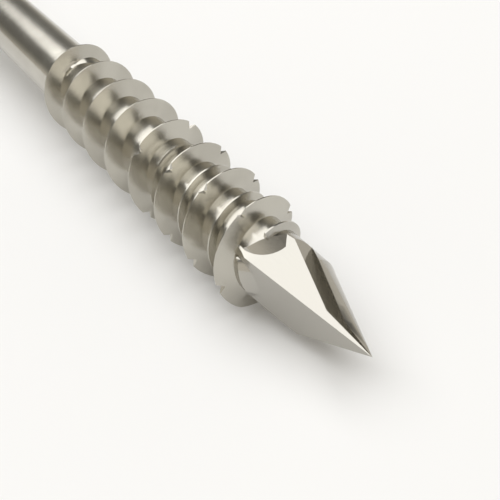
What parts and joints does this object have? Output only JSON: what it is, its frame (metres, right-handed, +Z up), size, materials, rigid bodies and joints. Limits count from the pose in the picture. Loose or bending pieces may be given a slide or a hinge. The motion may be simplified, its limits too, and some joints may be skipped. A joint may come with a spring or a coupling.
{
  "type": "deck screw",
  "caption": "Countersunk stainless deck screw with a six-lobe recess, a coarse notched thread, a low second thread and a cut point.",
  "frame": {"origin": "on the floor, below the middle of the lying screw", "axes": "+X along the screw towards its point, +Z up; the axis dips by 2.65 degrees to the point, because the screw rests on its head rim and its thread"},
  "size_m": [0.0602, 0.0096, 0.0096],
  "materials": {
    "stainless_steel": "bright, rolled and tumbled stainless steel"
  },
  "bodies": {
    "root": {"deck_screw": "stainless_steel"}
  },
  "joints": []
}
